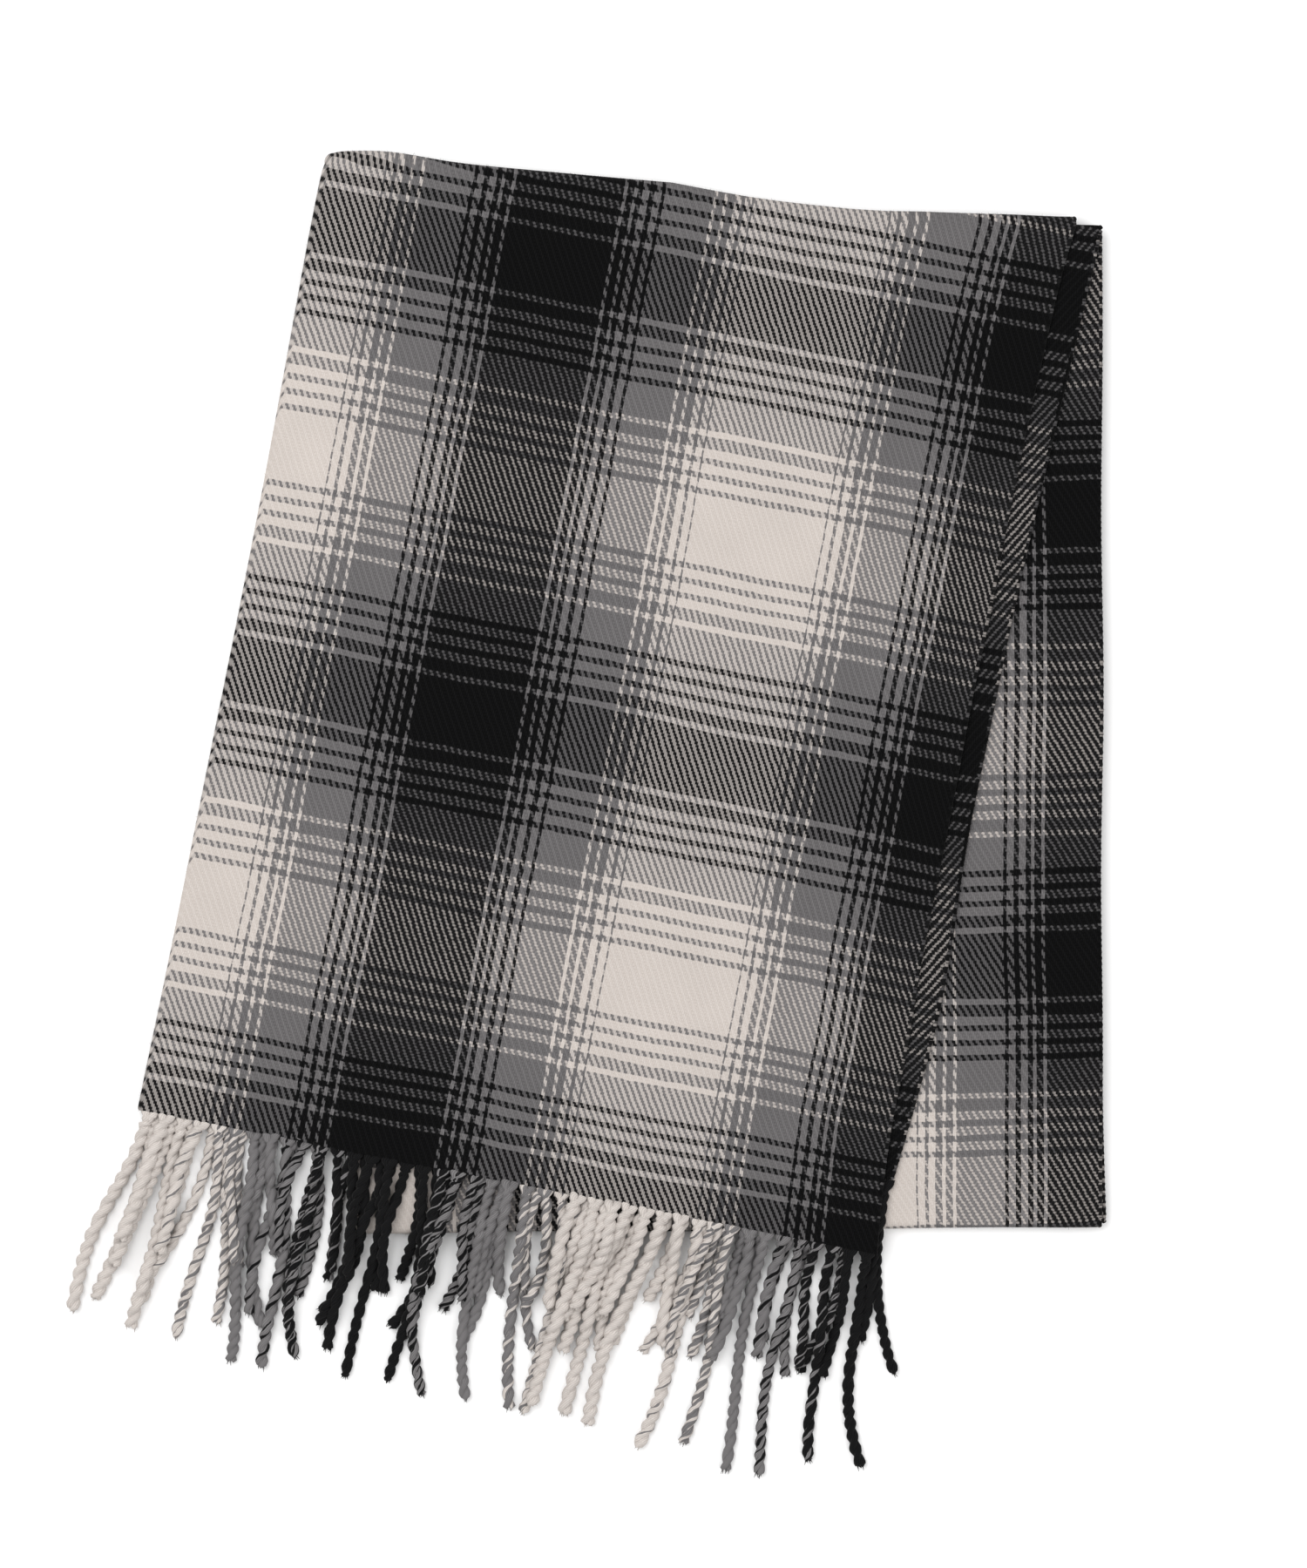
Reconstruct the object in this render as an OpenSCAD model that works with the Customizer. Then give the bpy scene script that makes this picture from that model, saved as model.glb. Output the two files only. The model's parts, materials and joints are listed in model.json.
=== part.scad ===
// Folded woven throw with a twisted fringe at both ends.
// The cloth is folded once along its length, so every leaf is two plies joined at the left,
// and then twice across: the front leaf hangs over the top fold, the back leaf lies underneath.
// +X is to the right across the leaves, +Y is from the fringe to the top fold, +Z is up.
// The origin is on the surface that it lies on, below the middle of the whole outline.

/* [Cloth] */
// Width of the opened cloth from selvedge to selvedge
cloth_width = 1000; // [900:10:1060]
// Thickness of one ply of the brushed twill
ply_t = 2.4; // [1.8:0.1:2.5]
// Air between one ply and the next
ply_gap = 0.4; // [0.3:0.05:0.6]

/* [Leaves] */
// Length of the front leaf along its folded left edge
front_length = 638; // [600:2:650]
// Length of the middle leaf along its right edge
middle_length = 654; // [640:1:670]
// Length of the back leaf, which lies hidden underneath
back_length = 490; // [380:5:500]
// How much further right the lower ply of the front leaf reaches
lower_ply_shift = 14; // [8:1:18]

/* [Folding] */
// Slope of the top fold across the leaves, in degrees
top_fold_slope = 4.6; // [4:0.1:5]
// How far the front leaf is turned from the middle leaf's direction, in degrees
front_turn = 11; // [10:0.1:12]
// Lean of the lower ply's right edge in the front leaf, in degrees
lower_ply_turn = 12.4; // [12:0.1:13]
// Slope of the bottom fold, in degrees
bottom_fold_slope = 0.5; // [0:0.1:1]

/* [Fringe] */
// Number of tassels along one ply's end
tassel_count = 43; // [36:1:45]
// Width of one twisted tassel
tassel_w = 6.5; // [5:0.1:7]
// Length of the long tassels
tassel_long = 145; // [130:1:150]
// Length of the short tassels
tassel_short = 82; // [70:1:95]

/* [Hidden] */

pitch = ply_t + ply_gap;              // height from one ply to the next
ply_z = [for (i = [0 : 5]) i * pitch]; // underside of each ply, from the lowest
half_w = cloth_width / 2 - 2.2;       // flat width of one ply, without its share of the side fold
fold_r_in = pitch / 2;                // middle radius of a fold round nothing
fold_r_out = 1.5 * pitch;             // middle radius of a fold round that fold
inner_drop = 1.8;                     // how far the inner top fold stops short of the outer one
origin_shift = [-172.84, 430.92];     // from the top left corner to the middle of the outline
slit = 0.3;                           // clearance at the leaves' folded ends

ivory = "#dcd2ca";
grey = "#77757a";
black = "#1c1c1e";
marl = "#a39d9b";

// Unit vector at an angle from +X, and one that points down and leans left
function along(a) = [cos(a), sin(a)];
function down(a) = [-sin(a), -cos(a)];

// Front leaf, upper ply: folded top edge, right selvedge, fringed end, folded left edge
a0 = [0, 0];
a1 = a0 + half_w * along(-top_fold_slope);
a3 = a0 + front_length * down(front_turn + 0.2);
a2 = a3 + half_w * along(-front_turn + 0.15);

// Front leaf, lower ply
b0 = a0 + inner_drop * down(front_turn);
b1 = b0 + (half_w + lower_ply_shift) * along(-top_fold_slope - 0.1);
b3 = a3;
b2 = b1 + (front_length + 4) * down(lower_ply_turn);

// Middle leaf, upper ply
c0 = b0;
c1 = b1;
c2 = c1 + middle_length * down(0);
c3 = c2 - (half_w - 8) * along(bottom_fold_slope);

// Middle leaf, lower ply
d0 = a0;
d1 = a1;
d2 = c2 + [3, 0] + 3 * (along(bottom_fold_slope) - [1, 0]);
d3 = c3;

// Back leaf, both plies
e0 = c3;
e1 = c2;
e2 = c2 - back_length * down(-0.5);
e3 = c3 - back_length * down(-0.5);

module in_place() {
  translate([origin_shift[0], origin_shift[1], 0]) children();
}

// One flat ply with its underside at height z
module ply(points, z) {
  translate([0, 0, z]) linear_extrude(height = ply_t) polygon(points);
}

// Half tube that joins two plies, along the line from p to q. It bulges to the left of that line.
module bend(p, q, z, r) {
  v = q - p;
  translate([p[0], p[1], z])
    rotate([0, 0, atan2(v[1], v[0])])
      rotate([90, 0, 90])
        linear_extrude(height = norm(v))
          difference() {
            intersection() {
              circle(r = r + ply_t / 2, $fn = 64);
              translate([0, -2 * r - 2 * ply_t]) square([2 * r + 2 * ply_t, 4 * r + 4 * ply_t]);
            }
            circle(r = r - ply_t / 2, $fn = 64);
          }
}

// One flattened tassel from its place on the hem, with a blunt cut end
module tassel(root, hem, dir, len, w) {
  h0 = root - hem * w / 2;
  h1 = root + hem * w / 2;
  side = dir[0] * hem[1] - dir[1] * hem[0] > 0 ? 1 : -1;
  n = [-dir[1], dir[0]] * side * w / 2;
  tip = root + dir * len;
  polygon([h0, tip - dir * w * 0.4 - n, tip - n * 0.5, tip + n * 0.5, tip - dir * w * 0.4 + n, h1]);
}

// Warp colour at a share of the ply's width, from the folded left edge to the selvedge
function warp_colour(u) =
  let (r = abs((u * 1.59) % 1), k = min(r, 1 - r))
  k < 0.15 ? ivory : k < 0.23 ? marl : k < 0.36 ? grey : black;

// A row of tassels from p to q: the lean changes evenly from one end to the other
module fringe_row(p, q, z, lean_p, lean_q, long, short, up = false) {
  hem = (q - p) / norm(q - p);
  for (i = [0 : tassel_count - 1]) {
    s = (i + 0.5) / tassel_count;
    a = lean_p + (lean_q - lean_p) * s + 0.8 * sin(i * 97);
    len = (i % 2 == 0 ? long : short) * (1 + 0.04 * sin(i * 61));
    color(warp_colour(s))
      translate([0, 0, z])
        linear_extrude(height = ply_t)
          tassel(p + s * (q - p), hem, up ? -down(a) : down(a), len, tassel_w);
  }
}

module front_upper_ply() {
  color(grey) in_place() ply([a0 + slit * down(0), a1 + slit * down(0), a2, a3], ply_z[5]);
}

module front_lower_ply() {
  color(marl) in_place() ply([b0 + slit * down(0), b1 + slit * down(0), b2, b3], ply_z[4]);
}

module front_side_fold() {
  color(ivory) in_place() bend(b3, b0 + 2 * slit * down(front_turn), ply_z[4] + ply_t / 2 + fold_r_in, fold_r_in);
}

module front_fringe_upper() {
  in_place() fringe_row(a3, a2, ply_z[5], 19, -4, tassel_long, tassel_short);
}

module front_fringe_lower() {
  in_place() fringe_row(b3, b2, ply_z[4], 16, -6, tassel_long * 0.88, tassel_long * 0.8);
}

module top_fold_outer() {
  color(grey) in_place() bend(a0, a1, ply_z[2] + ply_t / 2 + fold_r_out, fold_r_out);
}

module top_fold_inner() {
  color(marl) in_place() bend(b0, b1, ply_z[3] + ply_t / 2 + fold_r_in, fold_r_in);
}

module middle_upper_ply() {
  color(marl) in_place() ply([c0 + slit * down(0), c1 + slit * down(0), c2 - slit * down(0), c3 - slit * down(0)], ply_z[3]);
}

module middle_lower_ply() {
  color(grey) in_place() ply([d0 + slit * down(0), d1 + slit * down(0), d2 - slit * down(0), d3 - slit * down(0)], ply_z[2]);
}

module middle_side_fold() {
  color(ivory) in_place() bend(c3 - 2 * slit * down(0), c0 + 8 * down(0), ply_z[2] + ply_t / 2 + fold_r_in, fold_r_in);
}

module bottom_fold_outer() {
  color(marl) in_place() bend(c2, c3, ply_z[0] + ply_t / 2 + fold_r_out, fold_r_out);
}

module bottom_fold_inner() {
  color(grey) in_place() bend(c2, c3, ply_z[1] + ply_t / 2 + fold_r_in, fold_r_in);
}

module back_upper_ply() {
  color(grey) in_place() ply([e0 - slit * down(0), e1 - slit * down(0), e2, e3], ply_z[1]);
}

module back_lower_ply() {
  color(marl) in_place() ply([e0 - slit * down(0), e1 - slit * down(0), e2, e3], ply_z[0]);
}

module back_side_fold() {
  color(ivory) in_place() bend(e0 - 2 * slit * down(0), e3, ply_z[0] + ply_t / 2 + fold_r_in, fold_r_in);
}

module back_fringe_upper() {
  in_place() fringe_row(e3, e2, ply_z[1], 1, -1, tassel_long * 0.9, tassel_short, true);
}

module back_fringe_lower() {
  in_place() fringe_row(e3, e2, ply_z[0], 2, -1, tassel_long * 0.85, tassel_long * 0.75, true);
}

front_upper_ply();
front_lower_ply();
front_side_fold();
front_fringe_upper();
front_fringe_lower();
top_fold_outer();
top_fold_inner();
middle_upper_ply();
middle_lower_ply();
middle_side_fold();
bottom_fold_outer();
bottom_fold_inner();
back_upper_ply();
back_lower_ply();
back_side_fold();
back_fringe_upper();
back_fringe_lower();
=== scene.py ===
import json
import math

import bpy
import numpy as np
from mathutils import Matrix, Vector


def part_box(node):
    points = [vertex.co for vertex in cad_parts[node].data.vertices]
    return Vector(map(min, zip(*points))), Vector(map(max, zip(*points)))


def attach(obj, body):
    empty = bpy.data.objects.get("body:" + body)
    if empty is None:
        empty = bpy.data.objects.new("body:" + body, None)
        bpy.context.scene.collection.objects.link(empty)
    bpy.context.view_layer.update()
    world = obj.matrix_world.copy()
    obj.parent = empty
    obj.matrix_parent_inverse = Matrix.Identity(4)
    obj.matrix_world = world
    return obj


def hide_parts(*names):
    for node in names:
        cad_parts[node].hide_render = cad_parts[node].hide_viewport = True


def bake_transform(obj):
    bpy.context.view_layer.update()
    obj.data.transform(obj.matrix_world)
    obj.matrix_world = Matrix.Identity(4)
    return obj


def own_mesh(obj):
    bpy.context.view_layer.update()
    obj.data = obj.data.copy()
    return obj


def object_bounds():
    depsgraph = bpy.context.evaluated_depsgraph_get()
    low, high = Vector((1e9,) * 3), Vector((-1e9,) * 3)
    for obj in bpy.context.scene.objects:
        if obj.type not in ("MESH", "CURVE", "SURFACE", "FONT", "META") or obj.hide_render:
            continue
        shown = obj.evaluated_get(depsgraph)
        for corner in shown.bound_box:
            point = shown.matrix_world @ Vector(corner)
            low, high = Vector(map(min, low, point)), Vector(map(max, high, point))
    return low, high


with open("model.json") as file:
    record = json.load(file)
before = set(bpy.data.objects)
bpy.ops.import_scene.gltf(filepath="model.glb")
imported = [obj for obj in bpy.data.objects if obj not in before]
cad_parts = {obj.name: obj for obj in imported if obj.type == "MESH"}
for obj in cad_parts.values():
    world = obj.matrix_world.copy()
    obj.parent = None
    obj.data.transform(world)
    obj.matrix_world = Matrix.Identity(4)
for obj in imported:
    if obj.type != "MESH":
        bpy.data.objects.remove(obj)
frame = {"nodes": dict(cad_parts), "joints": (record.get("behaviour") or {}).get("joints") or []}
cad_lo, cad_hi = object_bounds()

scene = bpy.context.scene
rng = np.random.default_rng(20)
MM = 0.001

# ------------------------------------------------------------------ places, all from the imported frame


def corners(node):
    """The four corners of a flat ply in XY: top left, top right, bottom right, bottom left."""
    co = np.array([v.co for v in frame["nodes"][node].data.vertices])[:, :2]
    co = np.unique(np.round(co, 5), axis=0)
    co = co[np.argsort(-co[:, 1])]
    top, low = co[:2], co[2:4]
    top, low = top[np.argsort(top[:, 0])], low[np.argsort(low[:, 0])]
    return [top[0], top[1], low[1], low[0]]


def level(node):
    lo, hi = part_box(node)
    return (lo.z + hi.z) / 2


joints = {j["name"]: j for j in frame["joints"]}
TOP_Z = joints["top_fold"]["pos_m"][2]
LOW_Z = joints["bottom_fold"]["pos_m"][2]
front_up, front_low = corners("front_upper_ply"), corners("front_lower_ply")
mid_up, mid_low = corners("middle_upper_ply"), corners("middle_lower_ply")
back_up, back_low = corners("back_upper_ply"), corners("back_lower_ply")
SLIT = 0.2 * MM  # the rest of the clearance at a leaf's folded end stays open
up_y = np.array([0, SLIT])
for quad in (front_up, front_low, mid_up, mid_low):
    quad[0], quad[1] = quad[0] + up_y, quad[1] + up_y
for quad in (mid_up, mid_low, back_up, back_low):
    quad[2], quad[3] = quad[2] - up_y, quad[3] - up_y
for quad in (front_up, mid_low):  # the outer ply of the top fold stops short of the selvedge below it
    d = (quad[1] - quad[0]) / np.linalg.norm(quad[1] - quad[0])
    quad[1] = quad[1] - 4.0 * MM * d
HALF = 1.2 * MM  # half the thickness of one ply
HALF_W = float(np.linalg.norm(front_up[1] - front_up[0]))
EDGE_U = 0.5 - HALF_W  # the flat width that the lengthwise fold takes from each ply

END = 1.1494 * MM  # one warp end
PICK = 2.0 * MM  # one weft pick

# ------------------------------------------------------------------ shape of the cloth


def smooth(x):
    x = np.clip(x, 0, 1)
    return x * x * (3 - 2 * x)


def curve(t, at, values):
    """A smooth line through a few given values."""
    at, values = np.array(at, float), np.array(values, float)
    slope = np.gradient(values, at)
    i = np.clip(np.searchsorted(at, t) - 1, 0, len(at) - 2)
    h = at[i + 1] - at[i]
    x = np.clip((t - at[i]) / h, 0, 1)
    return (
        (2 * x**3 - 3 * x**2 + 1) * values[i]
        + (x**3 - 2 * x**2 + x) * h * slope[i]
        + (-2 * x**3 + 3 * x**2) * values[i + 1]
        + (x**3 - x**2) * h * slope[i + 1]
    )


WAVES = [
    (rng.uniform(0.07, 0.26), rng.uniform(0, 2 * math.pi), rng.uniform(0, 2 * math.pi))
    for _ in range(14)
]


def waves(x, y):
    """Soft unevenness of a laid cloth, from 0 to 1."""
    total = 0
    for length, turn, phase in WAVES:
        total = total + np.sin(
            2 * math.pi / length * (x * math.cos(turn) + y * math.sin(turn)) + phase
        ) * (length / 0.2)
    return np.clip(0.5 + total / 9.0, 0, 1)


def bilinear(quad, s, t):
    tl, tr, br, bl = quad
    s, t = s[..., None], t[..., None]
    return (1 - t) * ((1 - s) * tl + s * tr) + t * ((1 - s) * bl + s * br)


def line_of(quad, s, which):
    a, b = (quad[0], quad[1]) if which == "top" else (quad[3], quad[2])
    return a + s[:, None] * (b - a)


def edge_steps(n, near):
    """0 to 1 in n even steps, with a few narrow ones before 1 so that the edge is round."""
    base = np.linspace(0, 1, n + 1)[:-1]
    return np.concatenate([base, 1 - np.array(near[::-1])])


LEN = 0.66
s_half = edge_steps(96, [0.0, 0.0006, 0.0016, 0.0032])
t_front = edge_steps(132, [0.0, 0.0006, 0.0014, 0.0030])
s_half[-5] = min(s_half[-5], 0.9935)
t_front[-5] = min(t_front[-5], 0.9945)
t_mid = np.linspace(0, 1, 133)
t_back = edge_steps(96, [0.0, 0.0008, 0.0020, 0.0042])
N_ARC, N_SIDE = 14, 7
arc = np.linspace(0, math.pi, N_ARC + 1)

left_mid_a, left_mid_b = mid_up[0], mid_up[3]


def off_the_left(p):
    """How far a point is to the left of the middle leaf's folded edge."""
    d = left_mid_b - left_mid_a
    d = d / np.linalg.norm(d)
    n = np.array([d[1], -d[0]])
    n = n if n[0] < 0 else -n
    return (p - left_mid_a) @ n


def leaf(quad, z, s, t, kind):
    """Middle surface of one ply: rows follow t, columns follow s."""
    T, S = np.meshgrid(t, s, indexing="ij")
    p = bilinear(quad, S, T)
    if kind in ("front_up", "front_low"):
        if kind == "front_up":
            dx = curve(
                T,
                [0, 0.036, 0.121, 0.29, 0.375, 0.459, 0.544, 0.629, 0.713, 0.798, 0.882, 0.95, 1.0],
                [0, -2.6, -5.3, -8.3, -8.3, -9.8, -9.8, -10.2, -10.8, -9.8, -10.2, -7.5, -4.0],
            )
            p[..., 0] += dx * MM * S**4
            p[..., 0] += 1.6 * MM * np.sin(math.pi * T) * (1 - S) ** 3
        else:
            dx = curve(
                T,
                [0, 0.2, 0.4, 0.52, 0.66, 0.75, 0.83, 0.90, 1.0],
                [0, -2.0, -3.0, -1.8, 0.2, 4.2, 6.0, 4.2, 0],
            )
            p[..., 0] += dx * MM * S**4
            p[..., 0] += 1.6 * MM * np.sin(math.pi * T) * (1 - S) ** 3
    elif kind in ("mid_up", "mid_low"):
        p[..., 0] += (
            0.9 * MM * np.sin(5.1 * T * math.pi + (0.4 if kind == "mid_up" else 1.3))
            * np.sin(math.pi * T) * S**4
        )
    h = np.full(T.shape, z)
    lift = {
        "front_up": 1.5, "front_low": 1.2, "mid_up": 0.8, "mid_low": 0.5,
        "back_up": 0.25, "back_low": 0.0,
    }[kind] * MM
    ends = smooth(T / 0.09)
    if kind.startswith("mid"):
        ends = ends * smooth((1 - T) / 0.09)
    h += lift * waves(p[..., 0], p[..., 1]) * ends
    if kind.startswith("front"):
        drop = smooth(off_the_left(p) / 0.052)
        h -= (10.6 * MM if kind == "front_low" else 10.9 * MM) * drop * smooth(T / 0.12)
    return np.concatenate([p, h[..., None]], axis=-1)


def fold_arc(line, out, z, rho, s, droop):
    """Half turn round a fold line: from above the axis to below it."""
    p = np.zeros((len(arc), len(line), 3))
    p[..., :2] = line[None] + out * (rho * np.sin(arc))[:, None, None] * droop[None, :, None]
    p[..., 2] = z + (rho * np.cos(arc))[:, None]
    return p


def out_of(line, up):
    d = line[-1] - line[0]
    d = d / np.linalg.norm(d)
    n = np.array([-d[1], d[0]])
    return n if (n[1] > 0) == up else -n


SAG_AT = [0, 0.46, 0.514, 0.561, 0.607, 0.653, 0.70, 0.746, 0.792, 0.838, 0.884, 0.93, 0.977, 1.0]
SAG_MM = [0, 0, 3.0, 5.4, 7.0, 8.0, 8.8, 8.6, 7.2, 6.2, 5.0, 3.6, 2.6, 1.8]


def column_set(side):
    """Every row of one half of the cloth, from the front hem to the back hem, with the flat length from the hem."""
    s = s_half
    upper = side == "a"
    zf, zm, zb = (
        (level("front_upper_ply"), level("middle_lower_ply"), level("back_upper_ply"))
        if upper
        else (level("front_lower_ply"), level("middle_upper_ply"), level("back_lower_ply"))
    )
    qf, qm, qb = (
        (front_up, mid_low, back_up) if upper else (front_low, mid_up, back_low)
    )
    kinds = (
        ("front_up", "mid_low", "back_up") if upper else ("front_low", "mid_up", "back_low")
    )
    front = leaf(qf, zf, s, t_front, kinds[0])
    top_line = line_of(qf, s, "top")
    # the top fold lies further down right of the middle; its inner ply has 2 mm of room
    fold_out = out_of(top_line, True)
    sag = np.interp(s, SAG_AT, SAG_MM) * MM
    sag = sag if upper else np.maximum(0, sag - 2.0 * MM)
    top_line = top_line - fold_out * sag[:, None]
    w_front, w_mid = smooth(1 - t_front / 0.12)[:, None], smooth(1 - t_mid / 0.3)[:, None]
    front[..., :2] -= (w_front * sag)[..., None] * fold_out
    soft = 1.25 + 0.15 * np.sin(s * 9.0 + 0.5) * smooth(s / 0.1) * smooth((1 - s) / 0.1)
    if upper:
        soft = soft + 1.0 * np.exp(-(((s - 0.07) / 0.075) ** 2)) * (0.35 + 0.65 * smooth(s / 0.015))
    top = fold_arc(top_line, fold_out, TOP_Z, zf - TOP_Z, s, soft)
    middle = leaf(qm, zm, s, t_mid, kinds[1])
    middle[..., :2] -= (w_mid * sag)[..., None] * fold_out
    low_line = line_of(qm, s, "low")
    soft = 1 + 0.15 * np.sin(s * 11.0 + 2.0) * smooth(s / 0.1) * smooth((1 - s) / 0.1)
    low = fold_arc(low_line, out_of(low_line, False), LOW_Z, zm - LOW_Z, s, soft)
    # the back leaf runs from the bottom fold up to its hem, so its rows are turned round
    back_quad = [qb[3], qb[2], qb[1], qb[0]]
    back = leaf(back_quad, zb, s, t_back, kinds[2])
    Lf = np.linalg.norm(bilinear(qf, s, 0 * s) - bilinear(qf, s, 0 * s + 1), axis=1)
    Lm = np.linalg.norm(bilinear(qm, s, 0 * s) - bilinear(qm, s, 0 * s + 1), axis=1)
    Lb = np.linalg.norm(
        bilinear(back_quad, s, 0 * s) - bilinear(back_quad, s, 0 * s + 1), axis=1
    )
    rt, rl = abs(zf - TOP_Z), abs(zm - LOW_Z)
    v_front = (1 - t_front)[:, None] * Lf - w_front * sag
    v_top = Lf - sag + (arc * rt)[:, None]
    at_mid = Lf + math.pi * rt
    v_mid = at_mid + t_mid[:, None] * Lm - w_mid * sag
    v_low = at_mid + Lm + (arc * rl)[:, None]
    at_back = at_mid + Lm + math.pi * rl
    v_back = at_back + t_back[:, None] * Lb
    rows = [front[::-1], top[1:-1], middle, low[1:-1], back]
    flat = [v_front[::-1], v_top[1:-1], v_mid, v_low[1:-1], v_back]
    return np.concatenate(rows), np.concatenate(flat), Lf


rows_a, flat_a, LfA = column_set("a")
rows_b, flat_b, LfB = column_set("b")
n_front, n_mid, n_back = len(t_front), len(t_mid), len(t_back)
R_TOP = n_front - 1  # last row of the front leaf, at the top fold
R_MID = R_TOP + N_ARC  # first row of the middle leaf
R_LOW = R_MID + n_mid - 1
R_BACK = R_LOW + N_ARC
N_ROWS = rows_a.shape[0]
assert R_BACK + n_back == N_ROWS

# The lengthwise fold joins the two halves at their first columns.
pa, pb = rows_a[:, 0], rows_b[:, 0]
centre, across = (pa + pb) / 2, (pa - pb) / 2
radius = np.linalg.norm(across, axis=1)[:, None]
tangent = np.gradient(centre, axis=0)
left = np.cross(tangent, across)
left /= np.linalg.norm(left, axis=1)[:, None] + 1e-12
left *= np.where(left[:, :1] > 0, -1, 1)
side = []
for k in range(1, N_SIDE + 1):
    a = math.pi * k / (N_SIDE + 1)
    side.append(centre + across * math.cos(a) + left * radius * 1.25 * math.sin(a))
side = np.stack(side, axis=1)

# Columns run from the upper half's selvedge over the lengthwise fold to the lower half's selvedge.
P = np.concatenate([rows_a[:, ::-1], side, rows_b], axis=1)
n_half = len(s_half)
u_side = np.linspace(EDGE_U, -EDGE_U, N_SIDE + 2)[1:-1]
U = np.concatenate([(EDGE_U + s_half * HALF_W)[::-1], u_side, -(EDGE_U + s_half * HALF_W)])
C_A, C_B = n_half - 1, n_half + N_SIDE  # columns where the lengthwise fold starts and ends
N_COLS = P.shape[1]


def over_side(a, b):
    w = (np.arange(1, N_SIDE + 1) / (N_SIDE + 1))[None]
    return np.concatenate([a[:, ::-1], a[:, :1] * (1 - w) + b[:, :1] * w, b], axis=1)


# Flat length under the face side and under the reverse. The two halves were folded a little out of line,
# so the lower half's stripes start further along.
turn_b = (1 - s_half)[None] * 49 * MM
face_b = flat_b + (664 * MM - LfB[0] - 4.4 * MM) + (52 * MM * s_half - (LfB - LfB[0]))[None]
row_no = np.arange(N_ROWS)[:, None]
down_mid = np.clip((row_no - R_MID) / (R_LOW - R_MID), 0, 1)
face_b = face_b + (-1.2 + 12.2 * down_mid) * MM
face_a = flat_a + (3.2 + 5.0 * s_half)[None] * MM * smooth(flat_a / 0.15)
back_b = flat_b - turn_b + 14 * MM * (1 - np.exp(-np.clip(flat_b, 0, None) / 0.3))
V_FACE = over_side(face_a, face_b)
V_BACK = over_side(face_a, back_b)

# The corner on the left, where four plies turn, is round.
near_x = np.exp(-np.clip(P[..., 0] - front_up[0][0], 0, None) / (7 * MM))
near_y = np.exp(-np.clip(front_up[0][1] + 4 * MM - P[..., 1], 0, None) / (5 * MM))
P[..., 0] += 3.2 * MM * near_x * near_y

drow = np.gradient(P, axis=0)
dcol = np.gradient(P, axis=1)
N = np.cross(drow, dcol)
N /= np.linalg.norm(N, axis=2)[..., None] + 1e-15
if N[20, 20, 2] < 0:
    N = -N

thick = np.full(P.shape[:2], HALF)
round_edge = {0: 0.30, 1: 0.62, 2: 0.86, 3: 0.97}
for k, f in round_edge.items():
    thick[:, k] *= f
    thick[:, -1 - k] *= f
    thick[k, :] *= f
    thick[-1 - k, :] *= f

FACE = P + N * thick[..., None]
BACK = P - N * thick[..., None]

# ------------------------------------------------------------------ materials

IVORY, GREY, BLACK = (0.545, 0.500, 0.468), (0.150, 0.144, 0.146), (0.0050, 0.0050, 0.0053)
COLOURS = {"W": IVORY, "G": GREY, "K": BLACK}
WARP = [("W", 38), ("G", 2), ("W", 4), ("G", 2), ("W", 4), ("G", 4), ("W", 2), ("G", 4), ("W", 2),
        ("G", 28), ("K", 2), ("G", 4), ("K", 2), ("G", 4), ("K", 4), ("G", 2), ("K", 4), ("G", 2), ("K", 31)]
WEFT = [("K", 11), ("G", 2), ("K", 4), ("G", 3), ("K", 2), ("G", 3), ("K", 2), ("G", 3), ("K", 2),
        ("G", 11), ("W", 2), ("G", 4), ("W", 3), ("G", 2), ("W", 3), ("G", 2), ("W", 3), ("G", 2), ("W", 11.5)]
HALF_WARP, HALF_WEFT = 145, 75.5


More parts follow.
